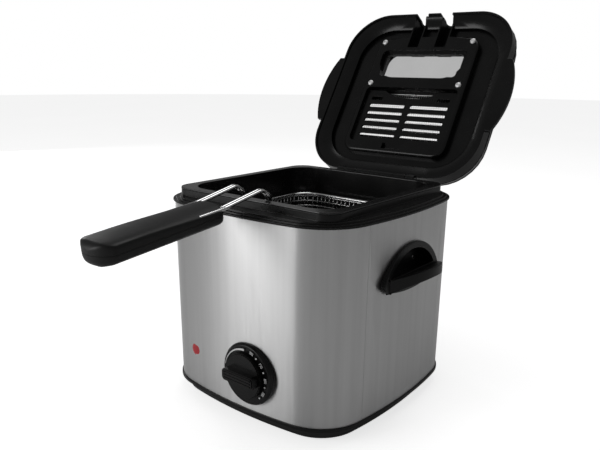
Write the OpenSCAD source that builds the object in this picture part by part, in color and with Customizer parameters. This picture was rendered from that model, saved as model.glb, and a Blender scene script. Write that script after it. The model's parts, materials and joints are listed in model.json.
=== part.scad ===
// Compact deep fryer: stainless body, square oil pot, wire basket with a hook-over handle,
// and a hinged lid with a window, two handle notches and a swing-down filter cover.
// X runs across the front, Y from the dial (negative) to the hinge, Z up from the feet.

/* [Body] */
// Width of the stainless wrap at its foot, over the bulge of its sides
body_w = 200; // [180:1:230]
// Depth of the stainless wrap at its foot, over the bulge of its faces
body_d = 203; // [182:1:232]
// Height of the stainless wrap
body_h = 160; // [140:1:195]
// How far each side bulges between its corners
side_bulge = 12.5; // [6:0.5:16]
// Corner radius of the wrap
corner_r = 43; // [32:1:52]
// How much wider the wrap is at its top than at its foot
flare = 1.02; // [1:0.005:1.04]
// Thickness of the wrap
wrap_t = 1; // [0.8:0.1:1.5]

/* [Base] */
// Height of the rubber feet below the base
foot_h = 3; // [2:0.5:5]
// Diameter of a rubber foot
foot_d = 15; // [12:1:20]
// Height of the base pan, lip included
base_h = 12; // [10:0.5:16]
// Height of the lip that the wrap stands on
lip_h = 3; // [2:0.5:4]

/* [Collar and pot] */
// How far the upright ring stands in from the top of the wrap
ring_inset = 16.5; // [15:0.5:20]
// Corner radius of the ring
ring_r = 15; // [10:1:22]
// Height of the ring's top above the wrap
ring_h = 9.5; // [8:0.5:14]
// Width of the pot's rolled rim
ledge_w = 8; // [6:0.5:10]
// Depth of the oil pot
pot_depth = 116; // [95:1:125]
// Wall of the oil pot
pot_t = 1.2; // [1:0.1:2]

/* [Basket] */
// Gap between the basket and the pot wall
basket_gap = 7.5; // [6.5:0.5:10]
// Height of the basket
basket_h = 76; // [60:1:80]
// How far the basket's rim lies below the pot's rim
basket_drop = 27; // [24:1:34]

/* [Handle] */
// Width of the grip
grip_w = 36; // [35:1:42]
// Length of the grip
grip_l = 107; // [90:1:130]
// Thickness of the grip
grip_t = 17; // [15:0.5:20]
// Diameter of the chrome handle wires
wire_d = 2.6; // [2.2:0.1:3]
// Distance from the middle to each pair of wires
prong_x = 14.1; // [12:0.1:14.2]

/* [Lid] */
// Height of the lid shell
lid_h = 33.5; // [32:0.5:40]
// Thickness of the lid shell
lid_t = 2.5; // [2:0.1:3]
// How far the lid stands open from closed, in degrees
lid_open = 122; // [100:1:124]
// Width of each notch for the handle wires
notch_w = 13.5; // [12:0.5:15]
// Height of each notch
notch_h = 20.5; // [19:0.5:22]
// How far the side wings stand out in their middle
wing_out = 14; // [11:0.5:15]

/* [Controls] */
// Distance of the dial from the middle
dial_x = 17; // [0:1:20]
// Height of the dial's centre above the wrap's foot
dial_z = 32.5; // [31:0.5:60]
// Diameter of the dial's bezel
bezel_d = 52.5; // [48:0.5:56]
// Diameter of the knob
knob_d = 38; // [32:1:40]
// Distance of the indicator lamp from the middle
lamp_x = 49; // [45:1:52]
// Diameter of the indicator lens
lens_d = 13; // [10:0.5:16]

/* [Side handles] */
// Length of a side handle along the body
handle_l = 88; // [76:1:96]
// Height of a side handle
handle_h = 39; // [34:1:44]
// How far a side handle stands out from the body
handle_out = 24; // [20:1:30]
// Height of a side handle's middle above the wrap's foot
handle_z = 117.5; // [100:0.5:122]

/* [Hidden] */

$fn = 48;
eps = 0.01;
slack = 0.15;       // gap between pieces that are assembled
move_gap = 0.6;     // gap between pieces that move past each other
run_gap = 0.06;     // radial clearance of a turning fit
bend_swell = 1.03;  // a bent wire is a little thicker where it bends
bend_lap = 0.05;    // overlap of a straight piece of wire with its bend

// Levels of the body
wrap_z = foot_h + base_h;
wrap_top = wrap_z + body_h;
dial_h = wrap_z + dial_z;
side_h = wrap_z + handle_z;
floor_t = 2.5;
floor_top = foot_h + floor_t;

// The wrap's sheets meet on the sides, just past the front and back corners
seam_y = max(body_d / 2 - corner_r - 2, handle_l / 2);

// The collar's deck and ring, and the pot that hangs in it
deck_steps = [[0, 1.5], [1.6, -1.2], [2.8, -4.2]];
deck_top = 4.2;
deck_lip = 5;
deck_wall = 2;
ring_x = body_w * flare / 2 - ring_inset;
ring_y = body_d * flare / 2 - ring_inset;
ring_t = 3;
ring_top = wrap_top + ring_h;
rim_t = 1.6;
rim_z = ring_top + rim_t;
pot_x = ring_x - ledge_w;
pot_y = ring_y - ledge_w;
pot_r = 22;
pot_floor = rim_z - pot_depth;

// The heater under the pot
element_r = 52;
element_tube = 4;
element_z = pot_floor - pot_t - slack - element_tube;
clamp_t = 2;
clamp_z = element_z - element_tube - slack - clamp_t;
stud_r = 3;
nut_h = 5;
shield_t = 0.8;
shield_x = pot_x + pot_t + 2.8;
shield_y = pot_y + pot_t + 2.8;
shield_z = clamp_z - 12;
shield_h = 90;
leg_x = 50;
leg_y = 58;
leg_r = 5;
screw_r = 1.8;
foot_x = body_w / 2 - 38;
foot_y = body_d / 2 - 38;

arch_r = 6;
arch_rim = 4;

// The leads inside the base: place across, height of the run, where it rises, and its end
block_y = 36;
block_h = 14;
lead_run = floor_top + block_h + 6;
element_x = element_r * sin(15);
element_y = element_r * cos(15);
lead_end = element_z - 24 - slack;
leads = [[-element_x, lead_run, -element_y, lead_end], [element_x, lead_run, -element_y, lead_end],
    [5, lead_run, -shield_y - 7, dial_h - 11 - slack]];

// The basket, with the handle's pivot on its front
basket_x = pot_x - basket_gap - 1;
basket_y = pot_y - basket_gap;
basket_r = 21;
basket_t = 1.2;
basket_top = rim_z - basket_drop;
wire_r = wire_d / 2;
rim_wire_h = 3;
mesh_pitch = 11.5;
mesh_hole = 9.3;
pivot_y = -(basket_y + 3.4);
pivot_z = basket_top + 6.2;
bracket_t = 1.2;
lug_r = 2.9;
lug_t = 2.4;
pair_gap = wire_d + 0.6;  // distance between the two wires of a prong
eye_r = 1.9;
eye_t = 0.4;
lug_gap = 1.2;
pin_reach = pair_gap / 2 + wire_r + lug_gap + lug_t + 0.8;

// The wires' route, seen from the side: grip, then over the pot's rim, then down
bend_y = -(ring_y - 3);
bend_z = rim_z + 8.6;
tilt = 5.9;
wire_tilt = 11.2;
grip_near = -(ring_y + 37);
entry_z = bend_z - (bend_y - grip_near) * tan(wire_tilt);
bend_fall = 5.5;
bend_r = 6;
wire_in_grip = 26;

// Grip frame: origin in the middle of the near end, its length along -Y before the tilt
channel_up = grip_t / 2 - 4.1;
grip_mid_z = entry_z - channel_up / cos(tilt);
grip_screw_y = [40, 78];

// Lid frame: origin in the middle of the lid's lower edge, +Z up when the lid is closed
rim_half_x = body_w * flare / 2 - 5.6;
rim_half_y = body_d * flare / 2 - 9.2;
lid_r = 44.5;
lid_rest = 0.6;
lid_rim_z = rim_z + lid_rest;
lid_shift_y = 2;
hinge_back = 4;
hinge_drop = 3.9;
pin_y = lid_shift_y + rim_half_y + hinge_back;
pin_z = lid_rim_z - hinge_drop;
pin_r = 1.7;
knuckle_r = 4.3;
knuckle_mid = 22;
lug_in = 22.6;
lug_out = 35.4;
knuckle_in = 36;
knuckle_out = 45;
shoulder = [[0, 0], [9, 2.5], [16, 8], [20.5, 17]];
skirt_h = lid_h - shoulder[3][0];
notch_r = 4.5;
wing_half = 39;
wing_step = 5;
wing_h = 4;
wing_r = (wing_half * wing_half + pow(wing_out - wing_step, 2)) / (2 * (wing_out - wing_step));

// The liner inside the lid, with its raised plate, window well and filter bay
band_in = 12;
band_up = 8;
channel_z = 12;
liner_t = 1.5;
plate_z = 5;
plate_x = 60;
plate_y = 69;
plate_mid = 1;
plate_r = 14;
lid_screw_x = 52;
lid_screw_y = [-62, -11];
recess_x = 16;
recess_w = 12.5;
recess_top = 21;
win_x = 45;
win_y = [-49.5, -20];
mouth_x = 50;
mouth_y = [-52, -18.5];
mouth_z = 9.5;
glass_z = 13.6;
glass_t = 3;
bay_x = 54;
bay_y = [-6, 58];
cover_z = 9;
cover_t = 2;
cover_pin = 1.1;
tray_top = 18.5;
mesh_t = 0.8;
slot_rows = 5;
slot_pitch = 8.8;
slot_h = 4.4;
slot_first = 14;
slot_in = 3.2;
slot_out = 46.5;
tray_slot_h = 6.4;
tray_shift = -4.4;  // the slots of the tray and of the shell climb from the cover's
vent_h = 6;
vent_x = 66;
vent_shift = -13;

// The cord's inlet at the back
gland_x = 45;
gland_z = wrap_z + 18;
gland_r = 6;
gland_bore = 3.5;

// Controls on the front face
front_y = -body_d / 2;
bezel_out = 4.5;
knob_y = front_y - bezel_out - move_gap;
knob_t = 4;
bar_out = 6.5;
bar_w = 10;
shaft_r = 3;
lens_out = -1.4;  // the front falls back from its middle to the lens

// The frame stands in the middle of the whole object's footprint
grip_tip_y = grip_near - grip_l * cos(tilt) - grip_t / 2 * sin(tilt);
lid_back_y = pin_y + max([for (p = shoulder)
    (skirt_h + p[0] + hinge_drop) * sin(lid_open) - (2 * rim_half_y + hinge_back - p[1]) * cos(lid_open)]);
frame_y = -(grip_tip_y + lid_back_y) / 2;

// ---- Plan outlines --------------------------------------------------------------------

function arc(c, r, a0, a1, n, first = 0) =
    [for (i = [first : n]) c + r * [cos(a0 + (a1 - a0) * i / n), sin(a0 + (a1 - a0) * i / n)]];

function side_radius(half, bulge) = (half * half + bulge * bulge) / (2 * bulge);

// Where two circles cross, on the side away from the origin
function crossing(a, ra, b, rb) =
    let (d = norm(b - a), u = (b - a) / d, s = (ra * ra - rb * rb + d * d) / (2 * d))
    a + s * u + sqrt(ra * ra - s * s) * [-u[1], u[0]] * (u[0] > 0 ? 1 : -1);

// A quarter of the wrap's outline at scale k, grown by g: back face, corner, side
function body_quarter(k, g) =
    let (hx = body_w * k / 2, hy = body_d * k / 2, b = side_bulge * k, r = corner_r * k,
        rb = side_radius(hx, b), rs = side_radius(hy, b),
        back = [0, hy - rb], side = [hx - rs, 0],
        c = crossing(back, rb - r, side, rs - r),
        a1 = atan2(c[1] - back[1], c[0] - back[0]),
        a2 = atan2(c[1] - side[1], c[0] - side[0]))
    concat(arc(back, rb + g, 90, a1, 10), arc(c, r + g, a1, a2, 12, 1),
        arc(side, rs + g, a2, 0, 10, 1));

function flip(points, m) = [for (i = [len(points) - 2 : -1 : 0]) [points[i][0] * m[0], points[i][1] * m[1]]];

function body_outline(k, g) =
    let (q = body_quarter(k, g), half = concat(q, flip(q, [1, -1])))
    concat(half, [for (i = [len(half) - 2 : -1 : 1]) [-half[i][0], half[i][1]]]);

module body_plan(k = 1, g = 0) polygon(body_outline(k, g));

// Rectangle with round corners, given by its half sizes
module rounded(x, y, r) {
    square([2 * (x - r), 2 * y], center = true);
    square([2 * x, 2 * (y - r)], center = true);
    for (sx = [-1, 1], sy = [-1, 1])
        translate([sx * (x - r), sy * (y - r)]) circle(r);
}

module slab(z0, z1) translate([0, 0, z0]) linear_extrude(z1 - z0) children();

module rounded_ring(z0, z1, x, y, r, t) slab(z0, z1) difference() {
    rounded(x, y, r);
    rounded(x - t, y - t, r - t);
}

// The wrap's solid inside, grown by g
module flared_body(g = 0) {
    translate([0, 0, wrap_z])
        linear_extrude(body_h, scale = flare) body_plan(1, g);
}

// A wire bent in the plane of Y and Z, with true bends of radius b at its inner points
module bent_wire(points, r, b) {
    n = len(points) - 1;
    dir = [for (i = [0 : n - 1]) (points[i + 1] - points[i]) / norm(points[i + 1] - points[i])];
    turn = [for (i = [1 : n - 1]) let (u = dir[i - 1], v = dir[i])
        atan2(u[0] * v[1] - u[1] * v[0], u * v)];
    cut = concat([0], [for (a = turn) b * tan(abs(a) / 2)], [0]);
    rotate([90, 0, 90]) {
        for (i = [0 : n - 1])
            translate(points[i] + dir[i] * (cut[i] - bend_lap))
                rotate([0, 90, atan2(dir[i][1], dir[i][0])])
                    cylinder(r = r, h = norm(points[i + 1] - points[i]) - cut[i] - cut[i + 1] + 2 * bend_lap);
        for (i = [1 : n - 1]) {
            side = turn[i - 1] > 0 ? 1 : -1;
            u = dir[i - 1];
            translate(points[i] - u * cut[i] + side * b * [-u[1], u[0]])
                rotate(atan2(u[1], u[0]) - side * 90 + (side > 0 ? 0 : turn[i - 1]))
                    rotate_extrude(angle = abs(turn[i - 1])) translate([b, 0]) circle(r * bend_swell);
        }
    }
}

module along_x(x0, x1, r) translate([x0, 0, 0]) rotate([0, 90, 0]) cylinder(r = r, h = x1 - x0);

module along_y(y0, y1, r1, r2) translate([0, y0, 0]) rotate([-90, 0, 0]) cylinder(r1 = r1, r2 = r2, h = y1 - y0);

module place() translate([0, frame_y, 0]) children();

// ---- Base -----------------------------------------------------------------------------

module at_feet() for (sx = [-1, 1], sy = [-1, 1]) translate([sx * foot_x, sy * foot_y, 0]) children();

module at_legs() for (sx = [-1, 1], sy = [-1, 1]) translate([sx * leg_x, sy * leg_y, 0]) children();

module rubber_feet() color("dimgray") at_feet() {
    cylinder(d = foot_d, h = foot_h);
    cylinder(r = 2.4, h = floor_top);
}

module base_pan() color([0.1, 0.1, 0.1]) difference() {
    union() {
        translate([0, 0, foot_h])
            linear_extrude(base_h - lip_h, scale = 1.045) body_plan(1, -6.5);
        slab(wrap_z - lip_h, wrap_z) body_plan(1, 1.2);
        slab(wrap_z, wrap_z + 4) body_plan(1, -wrap_t - slack);
    }
    slab(floor_top, wrap_z + 5) body_plan(1, -9);
    slab(wrap_z - eps, wrap_z + 5) body_plan(1, -wrap_t - slack - 2);
    at_feet() cylinder(r = 2.4 + slack, h = 20);
    at_legs() cylinder(r = screw_r + slack, h = 20);
    for (i = [-2 : 2])
        translate([0, i * 14, foot_h - 1]) slab(0, 5) square([60, 5], center = true);
}

module base_screws() color("silver") at_legs() {
    translate([0, 0, foot_h - 2.2]) cylinder(d = 7, h = 2.2);
    translate([0, 0, foot_h - 1]) cylinder(r = screw_r, h = 11);
}

// ---- Wrap, collar and pot -------------------------------------------------------------

// Outline of a side handle: a tall arch above, a shallow sweep below and round ends
function arch_points(l, h, r, g) =
    let (half = l / 2, low = h * 0.17, up = h - low, rt = (half * half + up * up) / (2 * up),
        rb = (half * half + low * low) / (2 * low),
        top = [0, h / 2 - rt], bottom = [0, rb - h / 2],
        c = crossing(top, rt - r, bottom, rb - r),
        a1 = atan2(c[1] - top[1], c[0]), a2 = atan2(c[1] - bottom[1], c[0]),
        right = concat(arc(top, rt + g, 90, a1, 16), arc(c, r + g, a1, a2, 8, 1),
            arc(bottom, rb + g, a2, -90, 8, 1)))
    concat(right, [for (i = [len(right) - 2 : -1 : 1]) [-right[i][0], right[i][1]]]);

module arch_plan(g = 0) polygon(arch_points(handle_l, handle_h, arch_r, g));

// Puts a plan drawn in (y, z) on the right side of the body, running out along X
module on_side(x0, x1, z) translate([x0, 0, z]) rotate([90, 0, 90]) linear_extrude(x1 - x0) children();

module wrap_shell() difference() {
    flared_body();
    translate([0, 0, wrap_z - 1])
        linear_extrude(body_h + 2, scale = flare + (flare - 1) * 2 / body_h) body_plan(1, -wrap_t);
}

// The part of the wrap between two places along Y
module wrap_sheet(y0, y1) intersection() {
    wrap_shell();
    translate([-body_w, y0, 0]) cube([2 * body_w, y1 - y0, wrap_top + 10]);
}

module wrap_front() color([0.75, 0.75, 0.76]) difference() {
    wrap_sheet(-body_d, -seam_y - slack / 2);
    translate([dial_x, 0, dial_h]) along_y(-body_d, -body_d / 2 + 20, 9, 9);
    translate([-lamp_x, 0, dial_h]) along_y(-body_d, -body_d / 2 + 25, 4.2, 4.2);
}

module wrap_back() color([0.72, 0.72, 0.73]) difference() {
    wrap_sheet(seam_y + slack / 2, body_d);
    translate([gland_x, 0, gland_z]) along_y(0, body_d, gland_r + slack, gland_r + slack);
}

module wrap_right() color([0.7, 0.7, 0.71]) difference() {
    intersection() {
        wrap_sheet(-seam_y + slack / 2, seam_y - slack / 2);
        translate([0, -body_d, 0]) cube([body_w, 2 * body_d, wrap_top + 10]);
    }
    on_side(body_w / 2 - 20, body_w / 2 + 20, side_h) arch_plan(-arch_rim);
}

module wrap_left() mirror([1, 0, 0]) wrap_right();

module top_collar() color([0.09, 0.09, 0.09]) {
    difference() {
        union() {
            for (i = [0 : len(deck_steps) - 1])
                slab(wrap_top + deck_steps[i][0] - (i > 0 ? eps : 0),
                    wrap_top + (i < 2 ? deck_steps[i + 1][0] : deck_top))
                    body_plan(flare, deck_steps[i][1]);
            slab(wrap_top - deck_lip, wrap_top) body_plan(flare, -wrap_t - slack - 0.15);
            slab(wrap_top, ring_top) rounded(ring_x, ring_y, ring_r);
            hinge_blocks();
        }
        slab(wrap_top - deck_lip - 1, wrap_top) body_plan(flare, -wrap_t - slack - 0.15 - deck_wall);
        slab(wrap_top - eps, wrap_top + deck_steps[2][0] - 0.9) body_plan(flare, -7);
        slab(wrap_top - 1, ring_top + 1) rounded(ring_x - ring_t, ring_y - ring_t, ring_r - ring_t);
        for (s = [-1, 1])
            translate([s * (lug_in + lug_out) / 2, pin_y + 10 - knuckle_r - 0.4, wrap_top + 10])
                cube([lug_out - lug_in + 2 * move_gap, 20, 20 - eps], center = true);
        translate([0, pin_y, pin_z]) along_x(-60, 60, pin_r + slack / 3);
    }
    difference() {
        slab(wrap_top - deck_lip, wrap_top + deck_steps[2][0])
            rounded(ring_x - ring_t + 2, ring_y - ring_t + 2, ring_r - ring_t + 2);
        slab(wrap_top - deck_lip - 1, ring_top) rounded(ring_x - ring_t, ring_y - ring_t, ring_r - ring_t);
    }
}

module hinge_blocks() {
    for (span = [[-knuckle_mid, knuckle_mid], [knuckle_in, knuckle_out], [-knuckle_out, -knuckle_in]])
        translate([0, pin_y, pin_z]) {
            along_x(span[0], span[1], knuckle_r);
            translate([span[0], -knuckle_r - 3, wrap_top - pin_z])
                cube([span[1] - span[0], 2 * knuckle_r + 3, 3.5]);
            translate([span[0], -knuckle_r + 0.3, wrap_top - pin_z])
                cube([span[1] - span[0], 2 * knuckle_r - 0.6, pin_z - wrap_top]);
        }
}

module hinge_pin() color("silver")
    translate([0, pin_y, pin_z]) along_x(-knuckle_out - 0.5, knuckle_out + 0.5, pin_r);

module oil_pot() color([0.13, 0.13, 0.13]) difference() {
    union() {
        slab(ring_top, rim_z) rounded(ring_x + 0.2, ring_y + 0.2, ring_r + 0.2);
        slab(pot_floor - pot_t, ring_top) rounded(pot_x + pot_t, pot_y + pot_t, pot_r + pot_t);
    }
    slab(pot_floor, rim_z + 1) rounded(pot_x, pot_y, pot_r);
}

// ---- Heater and inside parts ----------------------------------------------------------

module heating_element() color("dimgray") translate([0, 0, element_z]) {
    rotate([0, 0, -75]) rotate_extrude(angle = 330) translate([element_r, 0]) circle(element_tube);
    for (s = [-1, 1]) rotate([0, 0, -90 + s * 15]) {
        translate([element_r, 0, 0]) sphere(element_tube);
        translate([element_r, 0, -24]) cylinder(r = element_tube, h = 24);
    }
}

module element_legs(g) for (s = [-1, 1]) rotate([0, 0, -90 + s * 15])
    translate([element_r, 0, 0]) cylinder(r = element_tube + g, h = wrap_top);

module element_clamp() color("silver") difference() {
    union() {
        translate([0, 0, clamp_z]) cylinder(r = element_r + 10, h = clamp_t);
        translate([0, 0, shield_z - 10]) cylinder(r = stud_r, h = pot_floor - pot_t - shield_z + 10);
    }
    element_legs(1.5);
}

module clamp_nut() color("silver") translate([0, 0, shield_z - nut_h]) difference() {
    cylinder(r = 6, h = nut_h, $fn = 6);
    translate([0, 0, -1]) cylinder(r = stud_r + run_gap, h = nut_h + 2);
}

module heat_shield() color("lightgray") difference() {
    slab(shield_z, shield_z + shield_h) rounded(shield_x + shield_t, shield_y + shield_t, pot_r + 4);
    slab(shield_z + shield_t, shield_z + shield_h + 1) rounded(shield_x, shield_y, pot_r + 4 - shield_t);
    translate([0, 0, shield_z - 1]) cylinder(r = stud_r + slack, h = 4);
    element_legs(2);
}

module shield_legs() color("lightgray") at_legs() difference() {
    translate([0, 0, floor_top]) cylinder(r = leg_r, h = shield_z - floor_top);
    translate([0, 0, floor_top - 1]) cylinder(r = screw_r, h = 11);
}

module thermostat_body() color("ivory") translate([dial_x, 0, dial_h]) difference() {
    union() {
        translate([-14, -shield_y - 12.5, -11]) cube([28, 11, 22]);
        along_y(-shield_y - 14.5, -shield_y - 10, 5, 5);
        translate([-20, -shield_y - 12.5, 7]) cube([40, 1.2, 5]);
    }
    along_y(-body_d, -shield_y - 4, shaft_r + run_gap, shaft_r + run_gap);
}

module thermostat_shaft() color("silver") translate([dial_x, 0, dial_h])
    along_y(knob_y - knob_t - 1, -shield_y - 6, shaft_r, shaft_r);

module indicator_lamp() color("orange") translate([-lamp_x, 0, dial_h])
    along_y(front_y + 9, front_y + 17, 4, 4);

module thermal_fuse() color("tan") translate([shield_x + shield_t + 4 + slack, 0, dial_h]) {
    along_y(-12, 12, 4, 4);
    along_y(-20, 20, 0.8, 0.8);
}

module terminal_block() color("ivory") difference() {
    translate([-20, block_y - 7, floor_top]) cube([40, 14, block_h]);
    for (lead = leads) translate([lead[0], block_y, floor_top + 6]) cylinder(r = 2.2, h = 20);
}

// Each lead runs up from the terminal block, forward, and up to what it feeds
module internal_leads() color("firebrick") for (lead = leads)
    translate([lead[0], 0, 0]) bent_wire([[block_y, floor_top + 8], [block_y, lead[1]],
        [lead[2], lead[1]], [lead[2], lead[3]]], 1.2, 4);

module cord_gland() color([0.15, 0.15, 0.15]) translate([gland_x, 0, gland_z]) difference() {
    union() {
        along_y(body_d / 2 - 12, body_d / 2 + 8, gland_r, gland_r);
        difference() {
            along_y(body_d / 2 - 12, body_d / 2 + 3, gland_r + 3, gland_r + 3);
            translate([-gland_x, 0, -gland_z]) flared_body(slack);
        }
        along_y(body_d / 2 - 12, body_d / 2 - 9, gland_r + 2, gland_r + 2);
    }
    along_y(0, body_d, gland_bore, gland_bore);
}

// ---- Controls -------------------------------------------------------------------------

module dial_bezel() color([0.07, 0.07, 0.07]) difference() {
    translate([dial_x, 0, dial_h]) {
        along_y(front_y - bezel_out, front_y - bezel_out + 2, bezel_d / 2 - 1.6, bezel_d / 2);
        along_y(front_y - bezel_out + 2, front_y + 12, bezel_d / 2, bezel_d / 2);
    }
    flared_body(slack);
    translate([dial_x, 0, dial_h]) along_y(-body_d, 0, shaft_r + 1, shaft_r + 1);
}

module control_knob() color([0.08, 0.08, 0.08]) translate([dial_x, 0, dial_h]) difference() {
    union() {
        along_y(knob_y - knob_t, knob_y, knob_d / 2 - 0.8, knob_d / 2);
        translate([-knob_d / 2 + 2, knob_y - knob_t - bar_out, -bar_w / 2])
            cube([knob_d - 4, bar_out + 2, bar_w]);
    }
    along_y(knob_y - knob_t - 1, knob_y + 1, shaft_r, shaft_r);
}

module indicator_lens() color("red") difference() {
    translate([-lamp_x, 0, dial_h]) {
        along_y(front_y - lens_out + 2, front_y + 8, lens_d / 2, lens_d / 2);
        along_y(front_y - lens_out + 0.5, front_y - lens_out + 2, lens_d / 2 - 1.5, lens_d / 2);
    }
    difference() {
        flared_body(slack);
        translate([-lamp_x, 0, dial_h]) along_y(-body_d, 0, 4.05, 4.05);
    }
}

// ---- Side handles ---------------------------------------------------------------------

module side_handle_right() color([0.09, 0.09, 0.09]) {
    x_wall = body_w / 2;
    difference() {
        union() {
            difference() {
                union() {
                    on_side(x_wall - 12, x_wall + 4.5, side_h) arch_plan();
                    intersection() {
                        shelf_block(x_wall);
                        translate([0, 0, side_h - handle_h]) linear_extrude(2 * handle_h)
                            translate([x_wall - 14, 0]) circle(handle_out + 14 + 1.3, $fn = 96);
                    }
                }
                flared_body(slack);
            }
            on_side(x_wall - 9, x_wall + 3.5, side_h) arch_plan(-arch_rim - slack);
        }
        intersection() {
            on_side(x_wall - 7.4, x_wall + 30, side_h) arch_plan(-arch_rim - 1.6);
            above_shelf(x_wall);
        }
        side_screw_holes(screw_r);
    }
}

// Section of the shelf: it rises as it runs out, and thins towards its edge
module shelf_block(x_wall) translate([0, handle_l / 2 - 5, side_h]) rotate([90, 0, 0])
    linear_extrude(handle_l - 10)
        polygon([[x_wall + 1, -handle_h / 2 + 2], [x_wall + handle_out + 2, -4.5],
            [x_wall + handle_out + 2, 3.5], [x_wall + 1, -6]]);

module above_shelf(x_wall) translate([0, handle_l / 2, side_h]) rotate([90, 0, 0])
    linear_extrude(handle_l)
        polygon([[x_wall - 20, -11], [x_wall + 1, -6], [x_wall + handle_out + 12, 8.2],
            [x_wall + handle_out + 12, handle_h], [x_wall - 20, handle_h]]);

module side_screw_holes(r) for (s = [-1, 1])
    translate([body_w / 2 - 20, s * 20, side_h]) rotate([0, 90, 0]) cylinder(r = r, h = 18);

module side_handle_left() mirror([1, 0, 0]) side_handle_right();

module side_handle_screws() color("silver") for (m = [0, 1]) mirror([m, 0, 0]) for (s = [-1, 1])
    translate([body_w / 2 - 9, s * 20, side_h]) rotate([0, -90, 0]) {
        cylinder(d = 6, h = 2);
        translate([0, 0, -1.5]) cylinder(r = screw_r, h = 2);
    }

// ---- Lid ------------------------------------------------------------------------------

// Puts pieces drawn in the closed lid's own frame on the open lid
module on_lid() translate([0, pin_y, pin_z]) rotate([-lid_open, 0, 0])
    translate([0, lid_shift_y - pin_y, lid_rim_z - pin_z]) children();

// The domed outside of the lid, drawn in by g
module dome(g) {
    x = rim_half_x - g;
    y = rim_half_y - g;
    r = lid_r - g;
    slab(-g, skirt_h) rounded(x, y, r);
    for (i = [0 : len(shoulder) - 2]) {
        a = shoulder[i];
        b = shoulder[i + 1];
        ka = [(x - a[1]) / x, (y - a[1]) / y];
        translate([0, 0, skirt_h + a[0] - eps])
            linear_extrude(b[0] - a[0] + eps, slices = 1,
                scale = [(x - b[1]) / (x - a[1]), (y - b[1]) / (y - a[1])])
                scale(ka) rounded(x, y, r, $fn = 32);
    }
}

module at_notches() for (s = [-1, 1]) translate([s * prong_x, 0, 0]) children();

module at_lid_screws() for (s = [-1, 1], y = lid_screw_y) translate([s * lid_screw_x, y, 0]) children();

module lid_shell() color([0.08, 0.08, 0.08]) on_lid() difference() {
    union() {
        difference() {
            union() {
                dome(0);
                wings();
            }
            translate([0, 0, -lid_t]) dome(lid_t);
            slab(-1, skirt_h) rounded(rim_half_x - lid_t, rim_half_y - lid_t, lid_r - lid_t);
        }
        for (s = [-1, 1]) hinge_lug(s);
        intersection() {
            at_lid_screws() translate([0, 0, plate_z + liner_t + slack]) cylinder(r = 2.4, h = lid_h);
            dome(1);
        }
    }
    at_notches() translate([0, 6 - rim_half_y, 0]) rotate([90, 0, 0])
        linear_extrude(12) rounded(notch_w / 2, notch_h, notch_r);
    slab(skirt_h, lid_h + 5) translate([0, (win_y[0] + win_y[1]) / 2 - 5])
        rounded(win_x + 13, (win_y[1] - win_y[0]) / 2 + 9, 14);
    at_rows(vent_shift) slab(skirt_h, lid_h + 5) rounded(vent_x, vent_h / 2, vent_h / 2 - 0.05);
    at_lid_screws() translate([0, 0, plate_z]) cylinder(r = 1.4, h = 16);
    translate([0, rim_half_y + hinge_back, -hinge_drop]) along_x(-60, 60, pin_r + run_gap);
}

// The rows of slots, moved by a shift along Y
module at_rows(shift) for (i = [0 : slot_rows - 1])
    translate([0, slot_first + i * slot_pitch + shift, 0]) children();

// A wing is a thick plate with square ends
module wings() for (m = [0, 1]) mirror([m, 0]) slab(0, wing_h) intersection() {
    translate([rim_half_x + wing_out - wing_r, 0]) circle(wing_r, $fn = 96);
    translate([rim_half_x - lid_t / 2, -wing_half]) square([60, 2 * wing_half]);
}

// A lug hangs below the lid's edge, with its pin behind the lid
module hinge_lug(s) translate([s * (lug_in + lug_out) / 2 - (lug_out - lug_in) / 2,
    rim_half_y + hinge_back, -hinge_drop]) {
    along_x(0, lug_out - lug_in, knuckle_r);
    translate([0, 0.4 - knuckle_r, 0]) cube([lug_out - lug_in, 2 * knuckle_r - 0.8, hinge_drop + 1]);
    translate([0, -hinge_back - 1.5, hinge_drop]) cube([lug_out - lug_in, hinge_back + 4, 5]);
}

// One layer of the liner: the shape that its pressing follows, drawn in by g and up by u
module liner_form(g, u) {
    x = rim_half_x - lid_t - slack - g;
    y = rim_half_y - lid_t - slack - g;
    r = lid_r - lid_t - slack - g;
    translate([0, 0, u - eps])
        linear_extrude(band_up + eps, slices = 1, scale = [(x - band_in) / x, (y - band_in) / y])
            rounded(x, y, r, $fn = 64);
    slab(band_up + u - eps, channel_z + u) rounded(x - band_in, y - band_in, r - band_in);
}

module recess_boxes(g) for (s = [-1, 1]) translate([s * recess_x, -rim_half_y + lid_t + slack, 0])
    translate([-recess_w / 2 - g, 0, 0]) cube([recess_w + 2 * g, 36 + g, recess_top + g]);

module plate_plan(g = 0) translate([0, plate_mid]) rounded(plate_x + g, plate_y + g, plate_r + g);

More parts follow.
